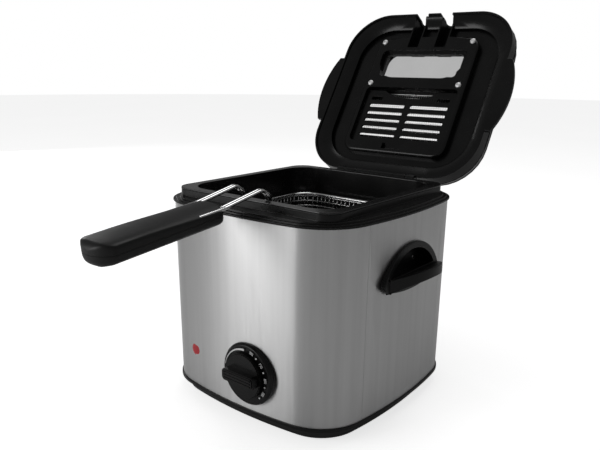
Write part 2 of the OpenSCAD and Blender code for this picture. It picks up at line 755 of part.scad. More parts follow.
module lid_liner() color([0.1, 0.1, 0.1]) on_lid() difference() {
    union() {
        difference() {
            liner_form(0, liner_t);
            liner_form(0, 0);
            slab(channel_z - 1, channel_z + 3) plate_plan(-liner_t);
        }
        // raised plate and its wall
        slab(plate_z, channel_z + liner_t) difference() {
            plate_plan();
            plate_plan(-liner_t);
        }
        slab(plate_z, plate_z + liner_t) plate_plan();
        intersection() {
            recess_boxes(liner_t);
            slab(plate_z, recess_top + liner_t) square(400, center = true);
            translate([0, 0, -lid_t - slack]) dome(lid_t + slack);
        }
        // window well: a wide mouth that narrows to the glass
        slab(plate_z, mouth_z + liner_t) mouth_plan(liner_t);
        slab(plate_z, glass_z) well_plan(2.5);
        // filter bay
        slab(plate_z, tray_top) bay_plan(liner_t);
    }
    slab(plate_z - 1, glass_z + 1) well_plan(0);
    slab(plate_z - 1, mouth_z) mouth_plan(0);
    slab(plate_z - 1, tray_top - liner_t) bay_plan(move_gap / 2);
    at_rows(tray_shift) slab(tray_top - 3, tray_top + 1)
        rounded(bay_x - 2, tray_slot_h / 2, tray_slot_h / 2 - 0.05);
    recess_boxes(0);
    slab(-1, plate_z + 12) translate([0, bay_y[1] + 3]) square([22, 8], center = true);
    at_lid_screws() cylinder(r = screw_r + slack, h = plate_z + 10);
    translate([0, bay_y[0] + 2.2, cover_z + cover_t / 2]) along_x(-bay_x - 1.6, bay_x + 1.6, cover_pin + run_gap);
}

module well_plan(g) translate([0, (win_y[0] + win_y[1]) / 2])
    rounded(win_x + g, (win_y[1] - win_y[0]) / 2 + g, 4 + g);

// The window's mouth: sharp corners towards the front, wide ones towards the hinge
module mouth_plan(g) intersection() {
    translate([0, (mouth_y[0] + mouth_y[1]) / 2])
        rounded(mouth_x + g, (mouth_y[1] - mouth_y[0]) / 2 + g, 6 + g);
    translate([0, mouth_y[1] - 40]) rounded(mouth_x + g, 40 + g, 22 + g);
}

module bay_plan(g) translate([0, (bay_y[0] + bay_y[1]) / 2])
    rounded(bay_x + g, (bay_y[1] - bay_y[0]) / 2 + g, 5 + g);

module lid_window() color([0.8, 0.85, 0.85, 0.6]) on_lid()
    slab(glass_z + 0.05, glass_z + glass_t) well_plan(2.3);

module window_gasket() color("dimgray") on_lid() slab(glass_z + 0.05, glass_z + glass_t + 1.2)
    difference() {
        well_plan(4.2);
        well_plan(2.3 + slack);
    }

// The filter screen lies under the tray
module filter_mesh() color("white") on_lid()
    slab(tray_top - liner_t - slack - mesh_t, tray_top - liner_t - slack) difference() {
        bay_plan(-1.5);
        for (i = [-6 : 6], j = [-3 : 3])
            translate([i * 7.8, (bay_y[0] + bay_y[1]) / 2 + j * 7.8]) square(6.8, center = true);
    }

module filter_cover() color([0.1, 0.1, 0.1]) on_lid() difference() {
    union() {
        slab(cover_z, cover_z + cover_t) intersection() {
            bay_plan(-0.5);
            translate([-bay_x, bay_y[0] + 1.6]) square(2 * bay_x);
        }
        slab(cover_z, cover_z + cover_t) translate([0, bay_y[1] + 2]) square([20, 6], center = true);
        translate([0, bay_y[0] + 2.2, cover_z + cover_t / 2]) along_x(-bay_x - 1.2, bay_x + 1.2, cover_pin);
    }
    slab(cover_z - 1, cover_z + cover_t + 1) for (s = [0, 1], i = [0 : slot_rows - 1]) mirror([s, 0])
        translate([(slot_in + slot_out) / 2, slot_first + i * slot_pitch])
            rounded((slot_out - slot_in) / 2, slot_h / 2, slot_h / 2 - 0.05);
    slab(cover_z - 1, cover_z + cover_t + 1) for (s = [-1, 1])
        translate([s * (slot_out - 7), slot_first - slot_pitch]) rounded(7, slot_h / 2, slot_h / 2 - 0.05);
    slab(cover_z - 1, cover_z + cover_t + 1) translate([0, -56]) circle(61, $fn = 96);
}

module lid_screws() color("white") on_lid() at_lid_screws() {
    translate([0, 0, plate_z - 1.8]) cylinder(r = 3, h = 1.8);
    translate([0, 0, plate_z - 1]) cylinder(r = 1.4, h = 14);
}

// ---- Basket ---------------------------------------------------------------------------

// Square openings between the basket's wires: n each way across, in k rows
module mesh_grid(n, k) for (i = [-n : n], j = [0 : k - 1])
    translate([i * mesh_pitch, j * mesh_pitch]) square(mesh_hole, center = true);

across = floor((basket_x - basket_r + 5) / mesh_pitch);
along = floor((basket_y - basket_r + 5) / mesh_pitch);
rows = floor((basket_h - 14) / mesh_pitch);

module basket_floor() color("silver") slab(basket_top - basket_h, basket_top - basket_h + basket_t)
    difference() {
        rounded(basket_x, basket_y, basket_r);
        translate([0, -along * mesh_pitch]) mesh_grid(across, 2 * along + 1);
    }

module basket_shell() slab(basket_top - basket_h + basket_t, basket_top) difference() {
    rounded(basket_x, basket_y, basket_r);
    rounded(basket_x - basket_t, basket_y - basket_t, basket_r - basket_t);
}

// A quarter of the plan that ends half way round two corners, towards -Y of a half size x by y
module quarter_plan(x, y) {
    cx = x - basket_r;
    cy = y - basket_r;
    polygon([[-cx, -cy], [cx, -cy], [cx + 2 * basket_r, -cy - 2 * basket_r],
        [-cx - 2 * basket_r, -cy - 2 * basket_r]]);
}

mesh_low = basket_top - 10 - (rows - 0.5) * mesh_pitch;

module basket_wall_front() color("silver") difference() {
    intersection() {
        basket_shell();
        slab(0, basket_top) quarter_plan(basket_x, basket_y);
    }
    translate([0, 0, mesh_low]) rotate([90, 0, 0]) linear_extrude(2 * basket_y) mesh_grid(across, rows);
}

module basket_wall_back() mirror([0, 1, 0]) basket_wall_front();

module basket_wall_right() color("silver") difference() {
    intersection() {
        basket_shell();
        slab(0, basket_top) rotate(90) quarter_plan(basket_y, basket_x);
    }
    translate([0, 0, mesh_low]) rotate([90, 0, 90]) linear_extrude(2 * basket_x) mesh_grid(along, rows);
}

module basket_wall_left() mirror([1, 0, 0]) basket_wall_right();

module basket_rim_wire() color("silver")
    rounded_ring(basket_top, basket_top + rim_wire_h, basket_x, basket_y, basket_r, 3);

module basket_bracket() color("silver") difference() {
    union() {
        translate([-24, -basket_y - bracket_t, basket_top - 20]) cube([48, bracket_t, 20 + rim_wire_h]);
        for (s = [-1, 1], d = [-1, 1])
            translate([s * prong_x + d * (pair_gap / 2 + wire_r + lug_gap + lug_t / 2) - lug_t / 2, 0, 0]) {
                translate([0, pivot_y, pivot_z]) along_x(0, lug_t, lug_r);
                translate([0, pivot_y - lug_r, basket_top - 8])
                    cube([lug_t, lug_r - basket_y - pivot_y - bracket_t / 2, pivot_z - basket_top + 8]);
            }
    }
    translate([0, pivot_y, pivot_z]) along_x(-60, 60, wire_r + run_gap);
}

// ---- Handle ---------------------------------------------------------------------------

module handle_wires() color("silver") {
    inner = [grip_near - wire_in_grip * cos(tilt), entry_z - wire_in_grip * sin(tilt)];
    route = [inner, [grip_near, entry_z], [bend_y, bend_z], [pivot_y, bend_z - bend_fall], [pivot_y, pivot_z]];
    for (s = [-1, 1]) {
        for (d = [-1, 1])
            translate([s * prong_x + d * pair_gap / 2, 0, 0]) bent_wire(route, wire_r, bend_r);
        // the eye that both wires of a prong end in, and its cross pin
        translate([s * prong_x, pivot_y, pivot_z]) {
            along_x(-pair_gap / 2 - wire_r - eye_t, pair_gap / 2 + wire_r + eye_t, eye_r);
            along_x(-pin_reach, pin_reach, wire_r);
        }
    }
}

// Puts pieces drawn along -Y, with their top at +Z, in the tilted grip
module on_grip() translate([0, grip_near, grip_mid_z]) rotate([tilt, 0, 0]) children();

module grip_plan() difference() {
    union() {
        translate([0, -9]) square([grip_w - 10, 18], center = true);
        for (s = [-1, 1]) translate([s * (grip_w / 2 - 8), -8]) circle(8);
        translate([0, -grip_l / 2 + 2]) square([grip_w, grip_l - 20 - 4], center = true);
        intersection() {
            translate([0, -grip_l / 2]) square([grip_w, grip_l], center = true);
            translate([0, -grip_l + 22]) circle(22, $fn = 96);
        }
    }
    translate([0, 20]) square([grip_w, 40], center = true);
}

module grip_half(z0, z1) difference() {
    slab(z0, z1) grip_plan();
    translate([0, 0, channel_up]) for (s = [-1, 1], d = [-1, 1])
        translate([s * prong_x + d * pair_gap / 2, 0, 0])
            along_y(-wire_in_grip - 1, 3, wire_r + 0.1, wire_r + 0.1);
    for (y = grip_screw_y) translate([0, -y, -grip_t]) cylinder(r = 1.5, h = grip_t + 3);
    for (y = grip_screw_y) translate([0, -y, -grip_t / 2 - 1]) cylinder(r = 3.2, h = 3);
}

module grip_upper() color([0.12, 0.12, 0.12]) on_grip() grip_half(0, grip_t / 2);

module grip_lower() color([0.1, 0.1, 0.1]) on_grip() grip_half(-grip_t / 2, 0);

module grip_screws() color("silver") on_grip() for (y = grip_screw_y) translate([0, -y, -grip_t / 2]) {
    cylinder(r = 3, h = 2);
    cylinder(r = 1.5, h = grip_t / 2 + 3);
}

place() rubber_feet();
place() base_pan();
place() base_screws();
place() wrap_front();
place() wrap_back();
place() wrap_left();
place() wrap_right();
place() top_collar();
place() oil_pot();
place() heating_element();
place() element_clamp();
place() clamp_nut();
place() heat_shield();
place() shield_legs();
place() thermostat_body();
place() thermostat_shaft();
place() control_knob();
place() dial_bezel();
place() indicator_lens();
place() indicator_lamp();
place() thermal_fuse();
place() terminal_block();
place() internal_leads();
place() cord_gland();
place() side_handle_left();
place() side_handle_right();
place() side_handle_screws();
place() hinge_pin();
place() lid_shell();
place() lid_liner();
place() lid_window();
place() window_gasket();
place() filter_mesh();
place() filter_cover();
place() lid_screws();
place() basket_floor();
place() basket_wall_front();
place() basket_wall_back();
place() basket_wall_left();
place() basket_wall_right();
place() basket_rim_wire();
place() basket_bracket();
place() handle_wires();
place() grip_upper();
place() grip_lower();
place() grip_screws();
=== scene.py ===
"""Compact deep fryer: how every piece looks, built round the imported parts."""

import json
import logging
import math
from collections.abc import Sequence
from dataclasses import dataclass, field
from enum import Enum

import bmesh
import bpy
from mathutils import Matrix, Vector


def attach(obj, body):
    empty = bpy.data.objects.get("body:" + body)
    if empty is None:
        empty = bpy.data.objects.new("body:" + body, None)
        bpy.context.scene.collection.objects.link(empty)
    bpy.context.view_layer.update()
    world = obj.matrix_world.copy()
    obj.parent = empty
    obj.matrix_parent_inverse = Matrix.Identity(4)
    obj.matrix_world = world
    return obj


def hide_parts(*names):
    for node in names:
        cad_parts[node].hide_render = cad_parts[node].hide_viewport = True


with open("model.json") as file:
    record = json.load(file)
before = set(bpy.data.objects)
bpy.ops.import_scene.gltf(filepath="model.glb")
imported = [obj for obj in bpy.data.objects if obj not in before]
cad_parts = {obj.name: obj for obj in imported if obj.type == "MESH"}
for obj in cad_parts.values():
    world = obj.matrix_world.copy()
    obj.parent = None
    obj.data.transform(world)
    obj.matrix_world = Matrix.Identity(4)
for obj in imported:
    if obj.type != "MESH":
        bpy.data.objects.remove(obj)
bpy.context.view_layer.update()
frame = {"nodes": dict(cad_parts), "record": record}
log = logging.getLogger("fryer")

MM = 0.001
JOINTS = {joint["name"]: joint for joint in frame["record"]["behaviour"]["joints"]}


class Body(str, Enum):
    """The bodies that pieces ride on."""

    MAIN = "main_body"
    LID = "lid"
    DOOR = "filter_door"
    BASKET = "basket_frame"
    HANDLE = "handle"
    KNOB = "knob"


class Grain(Enum):
    """How coarse a moulded plastic surface is."""

    SATIN = (1400.0, 0.02)
    FINE = (900.0, 0.05)
    LEATHERY = (420.0, 0.12)


# ---- Shader building --------------------------------------------------------------------


class Shader:
    """A material and its Principled shader while its nodes are put together."""

    def __init__(self, name: str) -> None:
        """Starts an empty material.

        Args:
            name: the material's name.
        """
        self.material = bpy.data.materials.new(name)
        self.material.use_nodes = True
        self.nodes = self.material.node_tree.nodes
        self.links = self.material.node_tree.links
        self.bsdf = next(n for n in self.nodes if n.type == "BSDF_PRINCIPLED")
        self.place = self.nodes.new("ShaderNodeTexCoord").outputs["Object"]

    def set(self, **values: object) -> None:
        """Sets constants on the shader's own sockets.

        Args:
            values: socket names, with spaces written as underscores, and their values.
        """
        for name, value in values.items():
            self.bsdf.inputs[name.replace("_", " ")].default_value = value

    def stretched(self, scale: Sequence[float]) -> bpy.types.NodeSocket:
        """Object coordinates scaled differently along each axis.

        Args:
            scale: the three scales.

        Returns:
            The socket with the scaled coordinates.
        """
        node = self.nodes.new("ShaderNodeMapping")
        node.inputs["Scale"].default_value = scale
        self.links.new(self.place, node.inputs["Vector"])
        return node.outputs["Vector"]

    def noise(self, scale: float, detail: float = 3.0,
              stretch: Sequence[float] = (1, 1, 1)) -> bpy.types.NodeSocket:
        """A cloudy pattern.

        Args:
            scale: its fineness.
            detail: how many finer layers it has.
            stretch: extra scale along each axis.

        Returns:
            The socket with the pattern.
        """
        node = self.nodes.new("ShaderNodeTexNoise")
        node.inputs["Scale"].default_value = scale
        node.inputs["Detail"].default_value = detail
        self.links.new(self.stretched(stretch), node.inputs["Vector"])
        return node.outputs["Fac"]

    def spread(self, source: bpy.types.NodeSocket, low: float, high: float) -> bpy.types.NodeSocket:
        """Maps the middle of a pattern to a range of numbers.

        Args:
            source: the pattern.
            low: the number at its dark parts.
            high: the number at its bright parts.

        Returns:
            The socket with the numbers.
        """
        node = self.nodes.new("ShaderNodeMapRange")
        node.inputs["From Min"].default_value = 0.3
        node.inputs["From Max"].default_value = 0.7
        node.inputs["To Min"].default_value = low
        node.inputs["To Max"].default_value = high
        self.links.new(source, node.inputs["Value"])
        return node.outputs["Result"]

    def tint(self, source: bpy.types.NodeSocket, dark: Sequence[float], light: Sequence[float]) -> None:
        """Colours the surface between two colours by a pattern.

        Args:
            source: the pattern.
            dark: the colour at its dark parts.
            light: the colour at its bright parts.
        """
        ramp = self.nodes.new("ShaderNodeValToRGB")
        first, last = ramp.color_ramp.elements
        first.position, last.position = 0.3, 0.7
        first.color, last.color = (*dark, 1), (*light, 1)
        self.links.new(source, ramp.inputs["Fac"])
        self.links.new(ramp.outputs["Color"], self.bsdf.inputs["Base Color"])

    def rough(self, source: bpy.types.NodeSocket, low: float, high: float) -> None:
        """Varies the roughness by a pattern.

        Args:
            source: the pattern.
            low: the roughness at its dark parts.
            high: the roughness at its bright parts.
        """
        self.links.new(self.spread(source, low, high), self.bsdf.inputs["Roughness"])

    def bump(self, source: bpy.types.NodeSocket, strength: float, depth: float) -> None:
        """Raises the surface by a pattern.

        Args:
            source: the pattern.
            strength: how much of it shows.
            depth: its depth in metres.
        """
        node = self.nodes.new("ShaderNodeBump")
        node.inputs["Strength"].default_value = strength
        node.inputs["Distance"].default_value = depth
        self.links.new(source, node.inputs["Height"])
        self.links.new(node.outputs["Normal"], self.bsdf.inputs["Normal"])


def grey(value: float) -> tuple[float, float, float]:
    """A neutral colour.

    Args:
        value: its brightness.

    Returns:
        The colour.
    """
    return (value, value, value)


# ---- Finishes ---------------------------------------------------------------------------


@dataclass(frozen=True)
class Finish:
    """A surface finish; each kind fills in how it shades."""

    name: str
    slot: str

    def dress(self, shader: Shader) -> None:
        """Puts the finish's nodes into the shader.

        Args:
            shader: the shader that is filled in.
        """
        raise NotImplementedError

    def material(self) -> bpy.types.Material:
        """The finish's material, made the first time that it is asked for.

        Returns:
            The material.
        """
        found = bpy.data.materials.get(self.name)
        if found is None:
            shader = Shader(self.name)
            self.dress(shader)
            found = shader.material
        return found


@dataclass(frozen=True)
class BrushedSteel(Finish):
    """Stainless sheet with upright brush lines."""

    light: float = 0.66

    def dress(self, shader: Shader) -> None:
        """Fine upright streaks in colour, gloss and height.

        Args:
            shader: the shader that is filled in.
        """
        streaks = shader.noise(1.0, 4.0, (1500, 1500, 9))
        broad = shader.noise(1.0, 2.0, (160, 160, 3))
        shader.tint(broad, grey(self.light * 0.93), grey(self.light))
        shader.rough(streaks, 0.30, 0.40)
        shader.bump(streaks, 0.10, 0.00003)
        shader.set(Metallic=1.0, Anisotropic=0.85, Anisotropic_Rotation=0.25)


@dataclass(frozen=True)
class MouldedPlastic(Finish):
    """Black moulded plastic with a grained surface."""

    shade: float = 0.012
    gloss: float = 0.35
    grain: Grain = Grain.FINE

    def dress(self, shader: Shader) -> None:
        """Grain in the height, with slight clouding of colour and gloss.

        Args:
            shader: the shader that is filled in.
        """
        scale, strength = self.grain.value
        grain = shader.noise(scale, 2.0)
        clouds = shader.noise(45, 4.0)
        shader.tint(clouds, grey(self.shade * 0.8), grey(self.shade * 1.25))
        shader.rough(clouds, self.gloss * 0.88, self.gloss * 1.15)
        shader.bump(grain, strength, 0.0003)
        shader.set(Specular_IOR_Level=0.3)


@dataclass(frozen=True)
class NonStick(Finish):
    """Dark baked coating with fine flecks."""

    shade: float = 0.008
    gloss: float = 0.22

    def dress(self, shader: Shader) -> None:
        """Fine flecks over soft clouds, slightly uneven.

        Args:
            shader: the shader that is filled in.
        """
        flecks = shader.noise(1600, 1.0)
        clouds = shader.noise(28, 3.0)
        shader.tint(flecks, grey(self.shade * 0.8), grey(self.shade * 1.5))
        shader.rough(clouds, self.gloss * 0.85, self.gloss * 1.25)
        shader.bump(clouds, 0.08, 0.0004)
        shader.set(Metallic=0.35, Coat_Weight=0.3, Coat_Roughness=0.2)


@dataclass(frozen=True)
class PlainMetal(Finish):
    """Drawn, plated or rolled metal with faint marks."""

    light: float = 0.8
    gloss: float = 0.14
    marks: tuple[float, float, float] = (300, 300, 300)

    def dress(self, shader: Shader) -> None:
        """Faint drawing marks in gloss and height.

        Args:
            shader: the shader that is filled in.
        """
        marks = shader.noise(1.0, 3.0, self.marks)
        shader.tint(marks, grey(self.light * 0.9), grey(self.light))
        shader.rough(marks, self.gloss * 0.8, self.gloss * 1.5)
        shader.bump(marks, 0.05, 0.00005)
        shader.set(Metallic=1.0)


@dataclass(frozen=True)
class ClearPane(Finish):
    """Clear glass or plastic pane."""

    light: float = 0.9
    gloss: float = 0.04

    def dress(self, shader: Shader) -> None:
        """Clear, with a faint unevenness in its gloss.

        Args:
            shader: the shader that is filled in.
        """
        haze = shader.noise(60, 3.0)
        shader.tint(haze, grey(self.light * 0.96), grey(self.light))
        shader.rough(haze, self.gloss * 0.6, self.gloss * 1.6)
        shader.set(Transmission_Weight=1.0, IOR=1.2)


@dataclass(frozen=True)
class RedLamp(Finish):
    """Clear red lens that glows a little."""

    def dress(self, shader: Shader) -> None:
        """Deep red with a ribbed inside.

        Args:
            shader: the shader that is filled in.
        """
        ribs = shader.noise(500, 1.0, (1, 1, 3))
        shader.tint(ribs, (0.25, 0.0, 0.004), (0.42, 0.0, 0.01))
        shader.rough(ribs, 0.12, 0.25)
        shader.bump(ribs, 0.25, 0.0002)
        shader.set(Coat_Weight=0.5, Emission_Color=(0.6, 0.0, 0.01, 1), Emission_Strength=0.12)


@dataclass(frozen=True)
class Softer(Finish):
    """Rubber, felt, sleeving or ceramic: a dull surface with its own grain."""

    colour: tuple[float, float, float] = (0.02, 0.02, 0.02)
    gloss: float = 0.7
    grain: float = 500.0
    height: float = 0.1

    def dress(self, shader: Shader) -> None:
        """Grain in colour, gloss and height.

        Args:
            shader: the shader that is filled in.
        """
        grain = shader.noise(self.grain, 3.0)
        shader.tint(grain, tuple(c * 0.85 for c in self.colour), self.colour)
        shader.rough(grain, self.gloss * 0.9, min(1.0, self.gloss * 1.1))
        shader.bump(grain, self.height, 0.0004)


STEEL = BrushedSteel("brushed_steel", "brushed_stainless")
LID_BLACK = MouldedPlastic("lid_plastic", "black_plastic", 0.0035, 0.26, Grain.SATIN)
COLLAR_BLACK = MouldedPlastic("collar_plastic", "black_plastic", 0.004, 0.28, Grain.SATIN)
BASE_BLACK = MouldedPlastic("base_plastic", "black_plastic", 0.004, 0.34, Grain.FINE)
GRIP_BLACK = MouldedPlastic("grip_plastic", "black_plastic", 0.005, 0.42, Grain.LEATHERY)
SCOOP_BLACK = MouldedPlastic("side_handle_plastic", "black_plastic", 0.0025, 0.36, Grain.FINE)
DIAL_BLACK = MouldedPlastic("dial_plastic", "black_plastic", 0.003, 0.24, Grain.SATIN)
COATING = NonStick("pot_coating", "coated_metal")
CHROME = PlainMetal("chrome_wire_finish", "chrome_wire", 0.85, 0.08)
PLATED = PlainMetal("plated_steel_finish", "plated_steel", 0.72, 0.2)
ALUMINISED = PlainMetal("aluminised_sheet", "aluminised_steel", 0.7, 0.3, (60, 60, 600))
BRIGHT = PlainMetal("bright_screw", "plated_steel", 0.95, 0.55)
SHEATH = PlainMetal("heater_sheath_finish", "heater_sheath", 0.2, 0.45)
PANE = ClearPane("window_pane", "window_glass")
LAMP_GLASS = ClearPane("lamp_glass_finish", "lamp_glass", 0.9, 0.05)
LENS = RedLamp("lamp_lens", "red_lens")
RUBBER = Softer("black_rubber", "rubber", (0.02, 0.02, 0.02), 0.65)
CERAMIC = Softer("ivory_ceramic", "ceramic_white", (0.75, 0.72, 0.64), 0.4, 300, 0.05)
SLEEVE = Softer("lead_sleeve", "wire_sleeve", (0.35, 0.05, 0.03), 0.6, 800, 0.15)
SCREEN = PlainMetal("filter_screen_finish", "filter_screen", 0.7, 0.3)
PRINT = Softer("dial_print", "ceramic_white", (0.8, 0.8, 0.8), 0.5, 700, 0.02)


# ---- Piece making -----------------------------------------------------------------------


def publish(name: str, mesh: bpy.types.Mesh, finish: Finish, body: Body) -> bpy.types.Object:
    """Puts a finished mesh in the scene as a piece that rides on a body.

    Args:
        name: the piece's name.
        mesh: its mesh, in place.
        finish: its finish.
        body: the body that it rides on.

    Returns:
        The piece.
    """
    mesh.materials.clear()
    mesh.materials.append(finish.material())
    piece = bpy.data.objects.new(name, mesh)
    bpy.context.scene.collection.objects.link(piece)
    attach(piece, body.value)
    log.info("%s: %d faces on %s", name, len(mesh.polygons), body.value)
    return piece


def sharpen(form: bmesh.types.BMesh, angle: float) -> None:
    """Shades a form smooth, except across edges sharper than an angle.

    Args:
        form: the form.
        angle: the angle in degrees.
    """
    for face in form.faces:
        face.smooth = True
    limit = math.radians(angle)
    for edge in form.edges:
        edge.smooth = len(edge.link_faces) == 2 and edge.calc_face_angle(math.pi) < limit


def close_form(form: bmesh.types.BMesh, name: str, angle: float = 35.0) -> bpy.types.Mesh:
    """Turns a form into a mesh and frees it.

    Args:
        form: the form.
        name: the mesh's name.
        angle: edges sharper than this many degrees stay crisp.

    Returns:
        The mesh.
    """
    sharpen(form, angle)
    mesh = bpy.data.meshes.new(name)
    form.to_mesh(mesh)
    form.free()
    return mesh


def traced(node: str) -> bmesh.types.BMesh:
    """A merged copy of a CAD node's shape, with flat areas as single faces.

    Args:
        node: the CAD node.

    Returns:
        The form.
    """
    form = bmesh.new()
    form.from_mesh(frame["nodes"][node].data)
    bmesh.ops.remove_doubles(form, verts=form.verts, dist=2e-6)
    bmesh.ops.dissolve_limit(form, angle_limit=math.radians(0.6), verts=form.verts, edges=form.edges)
    return form


def bevel(form: bmesh.types.BMesh, edges: Sequence[bmesh.types.BMEdge], width: float, steps: int) -> None:
    """Rounds some of a form's edges.

    Args:
        form: the form.
        edges: the edges that are rounded.
        width: the size of the rounding.
        steps: the faces across each rounding.
    """
    bmesh.ops.bevel(form, geom=edges, offset=width, offset_type="OFFSET", segments=steps,
                    profile=0.5, affect="EDGES", clamp_overlap=False, material=-1)


def crisp_edges(form: bmesh.types.BMesh, angle: float = 35.0) -> list[bmesh.types.BMEdge]:
    """The edges of a form that are sharper than an angle.

    Args:
        form: the form.
        angle: the angle in degrees.

    Returns:
        The edges.
    """
    limit = math.radians(angle)
    return [e for e in form.edges if len(e.link_faces) == 2 and e.calc_face_angle(0.0) > limit]


def stand_in(node: str, mesh: bpy.types.Mesh, finish: Finish, body: Body) -> bpy.types.Object:
    """Publishes a mesh as the piece that stands for one CAD node.

    Args:
        node: the CAD node.
        mesh: the piece's mesh, in place.
        finish: its finish.
        body: the body that it rides on.

    Returns:
        The piece.
    """
    piece = publish(f"{node}_shape", mesh, finish, body)
    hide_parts(node)
    return piece


def evenly_shaded(piece: bpy.types.Object) -> None:
    """Lets a piece's large faces lead the shading of its rounded edges.

    Args:
        piece: the piece.
    """
    weigh = piece.modifiers.new("even shading", "WEIGHTED_NORMAL")
    weigh.keep_sharp = True


@dataclass
class Traced:
    """Pieces that follow their CAD nodes, with rounded edges.

    The plan gives each node's rounding, its finish and the body that it rides on.
    """

    plan: dict[str, tuple[float, Finish, Body]] = field(default_factory=lambda: {
        "rubber_feet": (0.5 * MM, RUBBER, Body.MAIN),
        "base_pan": (0.5 * MM, BASE_BLACK, Body.MAIN),
        "base_screws": (0.3 * MM, PLATED, Body.MAIN),
        "wrap_front": (0.0, STEEL, Body.MAIN),
        "wrap_back": (0.0, STEEL, Body.MAIN),
        "wrap_left": (0.0, STEEL, Body.MAIN),
        "wrap_right": (0.0, STEEL, Body.MAIN),
        "top_collar": (0.35 * MM, COLLAR_BLACK, Body.MAIN),
        "oil_pot": (0.5 * MM, COATING, Body.MAIN),
        "heating_element": (0.3 * MM, SHEATH, Body.MAIN),
        "element_clamp": (0.3 * MM, PLATED, Body.MAIN),
        "clamp_nut": (0.3 * MM, PLATED, Body.MAIN),
        "heat_shield": (0.0, ALUMINISED, Body.MAIN),
        "shield_legs": (0.3 * MM, PLATED, Body.MAIN),
        "thermostat_body": (0.4 * MM, CERAMIC, Body.MAIN),
        "indicator_lamp": (0.4 * MM, LAMP_GLASS, Body.MAIN),
        "thermal_fuse": (0.2 * MM, CERAMIC, Body.MAIN),
        "terminal_block": (0.5 * MM, CERAMIC, Body.MAIN),
        "internal_leads": (0.0, SLEEVE, Body.MAIN),
        "cord_gland": (0.5 * MM, RUBBER, Body.MAIN),
        "side_handle_screws": (0.3 * MM, PLATED, Body.MAIN),
        "side_handle_left": (0.8 * MM, SCOOP_BLACK, Body.MAIN),
        "side_handle_right": (0.8 * MM, SCOOP_BLACK, Body.MAIN),
        "dial_bezel": (0.5 * MM, DIAL_BLACK, Body.MAIN),
        "hinge_pin": (0.3 * MM, PLATED, Body.MAIN),
        "thermostat_shaft": (0.3 * MM, PLATED, Body.KNOB),
        "lid_shell": (0.5 * MM, LID_BLACK, Body.LID),
        "lid_window": (0.2 * MM, PANE, Body.LID),
        "window_gasket": (0.3 * MM, RUBBER, Body.LID),
        "filter_cover": (0.3 * MM, LID_BLACK, Body.DOOR),
        "basket_bracket": (0.25 * MM, CHROME, Body.BASKET),
        "handle_wires": (0.0, CHROME, Body.HANDLE),
        "grip_screws": (0.3 * MM, PLATED, Body.HANDLE),
    })

    def build(self) -> None:
        """Makes every piece of the plan."""
        for node, (width, finish, body) in self.plan.items():
            form = traced(node)
            if width > 0:
                bevel(form, crisp_edges(form), width, 2)
            evenly_shaded(stand_in(node, close_form(form, node), finish, body))


# ---- Made pieces ------------------------------------------------------------------------


def turns(count: int) -> list[float]:
    """The angles of evenly spaced points round a circle.

    Args:
        count: how many points there are.

    Returns:
        The angles.
    """
    return [2 * math.pi * k / count for k in range(count)]


def smooth_step(t: float) -> float:
    """A soft ramp from 0 to 1.

    Args:
        t: how far along the ramp, from 0 to 1.

    Returns:
        The ramp's height there.
    """
    return t * t * (3 - 2 * t)


def tube(form: bmesh.types.BMesh, path: Sequence[Vector], radius: float, sides: int = 8,
         closed: bool = False) -> None:
    """Adds a round wire along a path.

    Args:
        form: the form that it is added to.
        path: the points of its middle line.
        radius: the wire's radius.
        sides: the faces round it.
        closed: whether the path runs back to its start.
    """
    count = len(path)
    rings = []
    side = None
    for i, point in enumerate(path):
        before = path[i - 1] if closed or i else point
        after = path[(i + 1) % count] if closed or i < count - 1 else point
        along = (after - before).normalized()
        if side is None:
            side = along.orthogonal().normalized()
        side = (side - along * side.dot(along)).normalized()
        other = along.cross(side)
        rings.append([form.verts.new(point + radius * (math.cos(t) * side + math.sin(t) * other))
                      for t in turns(sides)])
    for i in range(count if closed else count - 1):
        a, b = rings[i], rings[(i + 1) % count]
        shift = 0
        if closed and i == count - 1:
            shift = min(range(sides), key=lambda k: (a[0].co - b[k].co).length)
        for k in range(sides):
            form.faces.new((a[k], a[(k + 1) % sides], b[(k + 1 + shift) % sides], b[(k + shift) % sides]))
    if not closed:
        form.faces.new(list(reversed(rings[0])))
        form.faces.new(rings[-1])


def lofted(form: bmesh.types.BMesh, rings: Sequence[Sequence[Vector]]) -> None:
    """Skins a row of closed rings and caps both ends.

    Args:
        form: the form that it is added to.
        rings: the rings, each with the same number of points.
    """
    verts = [[form.verts.new(p) for p in ring] for ring in rings]
    size = len(verts[0])
    for a, b in zip(verts, verts[1:]):
        for k in range(size):
            form.faces.new((a[k], a[(k + 1) % size], b[(k + 1) % size], b[k]))
    form.faces.new(list(reversed(verts[0])))
    form.faces.new(verts[-1])


def rounded_path(x: float, y: float, r: float, step: float) -> list[tuple[float, float]]:
    """Points round a rectangle with round corners, anticlockwise from the right.

    Args:
        x: half its width.
        y: half its depth.
        r: its corner radius.
        step: the distance between points.

    Returns:
        The points.
    """
    legs = []
    for turn, (cx, cy) in enumerate(((x - r, y - r), (r - x, y - r), (r - x, r - y), (x - r, r - y))):
        count = max(3, round(r * math.pi / 2 / step))
        for k in range(count + 1):
            a = math.pi / 2 * (turn + k / count)
            legs.append((cx + r * math.cos(a), cy + r * math.sin(a)))
    points = []
    for (ax, ay), (bx, by) in zip(legs, legs[1:] + legs[:1]):
        count = max(1, round(math.hypot(bx - ax, by - ay) / step))
        points += [(ax + (bx - ax) * k / count, ay + (by - ay) * k / count) for k in range(count)]
    return points


# The body's middle lies this far behind the origin, which is the middle of the whole part's box
FRAME_Y = 2.62563 * MM


